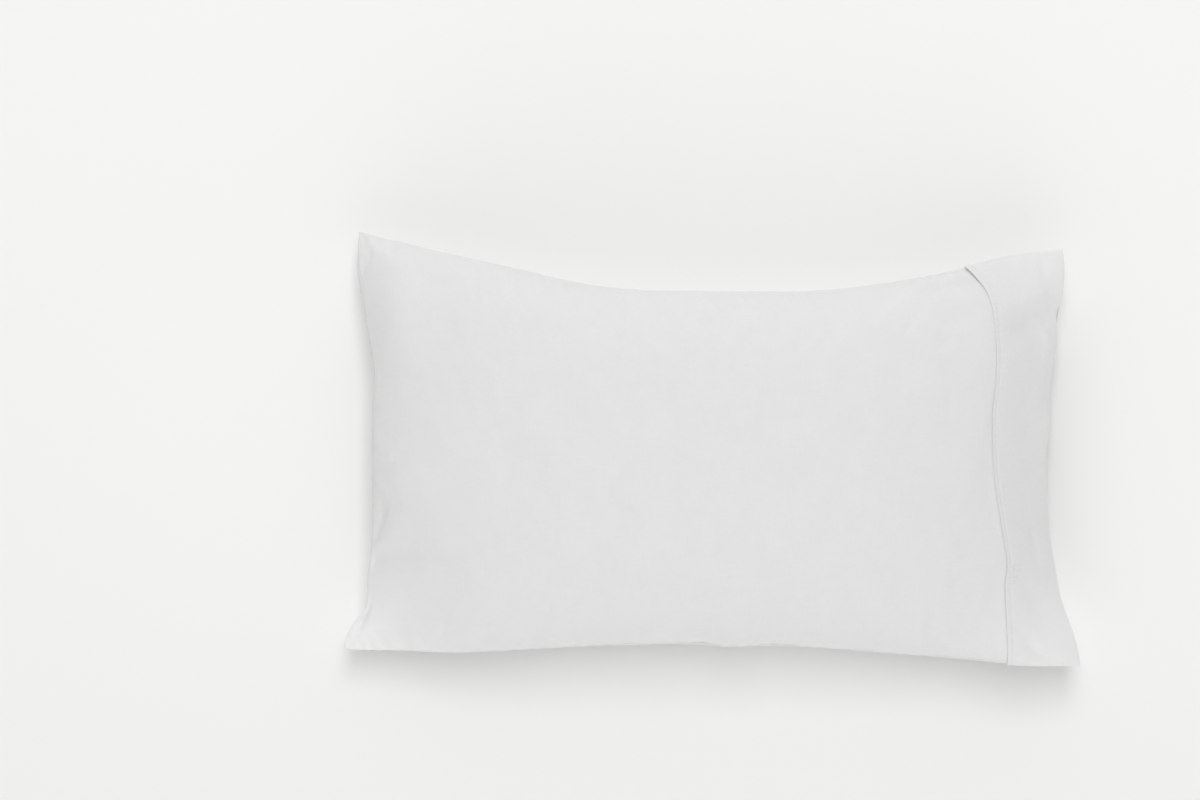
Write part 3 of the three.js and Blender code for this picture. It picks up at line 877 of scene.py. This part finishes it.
def plain_floor():
    """A pale matt floor with a barely uneven tone."""
    finish = Finish(bpy.data.materials.new("pale_floor"))
    place = finish.node("ShaderNodeTexCoord", None, None, OBJECT_PLACE)
    tone = finish.node("ShaderNodeTexNoise", None, {"Vector": place, "Scale": 2.0, "Detail": 2.0})
    paint = finish.blend(tone, FLOOR_DARK, FLOOR_LIGHT)
    return finish.surface({"Base Color": paint, "Roughness": 0.95, "Specular IOR Level": 0.1})


# ---------------------------------------------------------------- the part
case_cotton = cotton("case_cotton", CASE_LIGHT, CASE_DARK, SLACK_PAINTED_GLOW)
# The cuff's cotton is painted a little darker than the case's, as shade.
cuff_cotton = cotton("cuff_cotton", CUFF_SHADED_LIGHT, CUFF_SHADED_DARK, SLACK_PAINTED_GLOW)

body = make_body()
body.data.materials.append(case_cotton)
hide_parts("case_body")
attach(body, "root")

cuff = make_cuff()
cuff.data.materials.append(cuff_cotton)
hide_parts("cuff")
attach(cuff, "root")

stitches = make_stitches()
stitches.data.materials.append(sewing_thread())
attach(stitches, "root")

# ---------------------------------------------------------------- floor, light and camera
PIXEL = 0.0011  # metres a pixel at the height of the seams
PICTURE_WIDTH, PICTURE_HEIGHT = 1200, 800
CASE_ACROSS, CASE_DOWN = 711.5, 448.5  # pixels to the zero of the tables from the left and from the top
LENS = 110.0
SENSOR = 36.0
VIEW_DISTANCE = PICTURE_WIDTH * PIXEL * LENS / SENSOR
KEY_PLACE = (0.05, 1.8, 4.9)
KEY_AIM = (0, 0, 0.05)
KEY_SIZE = (1.7, 3.4)
KEY_POWER = 110.0
SKY_ALL_ROUND = 0.295
SKY_ENDS = 1.32
SKY_LEAN = 0.28  # share by which the -Y end is brighter, and the +Y end darker, than the two together
FLOOR_REACH = 9.0

floor_corners = np.array([(-1, -1, 0), (1, -1, 0), (1, 1, 0), (-1, 1, 0)]) * FLOOR_REACH
floor = mesh_piece("floor", floor_corners, np.array([[0, 1, 2, 3]]))
floor.data.materials.append(plain_floor())


def soft_box(name, place, aim, size, power):
    """A rectangular lamp at a place, facing its aim, with the first of its sizes along X."""
    lamp = bpy.data.lights.new(name, "AREA")
    lamp.shape = "RECTANGLE"
    lamp.size, lamp.size_y = size
    lamp.energy = power
    holder = bpy.data.objects.new(name, lamp)
    bpy.context.scene.collection.objects.link(holder)
    facing = Vector(aim) - Vector(place)
    holder.rotation_euler = facing.to_track_quat("-Z", "Y").to_euler()
    holder.location = place


soft_box("key_light", KEY_PLACE, KEY_AIM, KEY_SIZE, KEY_POWER)

# The sky is brighter towards both ends of the room, along Y, than overhead: by the square of a heading's Y
sky = Finish(bpy.data.worlds.new("studio"))
bpy.context.scene.world = sky.owner
heading = sky.node("ShaderNodeTexCoord")
to_end = sky.node("ShaderNodeSeparateXYZ", None, {0: heading}).other_output(1)
glow = to_end * to_end * (1 - to_end * SKY_LEAN) * SKY_ENDS + SKY_ALL_ROUND
background = sky.node("ShaderNodeBackground", None, {"Color": (1, 1, 1, 1), "Strength": glow})
sky.node("ShaderNodeOutputWorld", None, {"Surface": background})

lens = bpy.data.cameras.new("camera")
lens.lens = LENS
lens.sensor_width = SENSOR
camera = bpy.data.objects.new("camera", lens)
bpy.context.scene.collection.objects.link(camera)
camera.location = ((PICTURE_WIDTH / 2 - CASE_ACROSS) * PIXEL + CENTRE[0],
                   (CASE_DOWN - PICTURE_HEIGHT / 2) * PIXEL + CENTRE[1],
                   SEAM_HEIGHT + VIEW_DISTANCE)
bpy.context.scene.camera = camera
bpy.context.scene.view_settings.view_transform = "Standard"
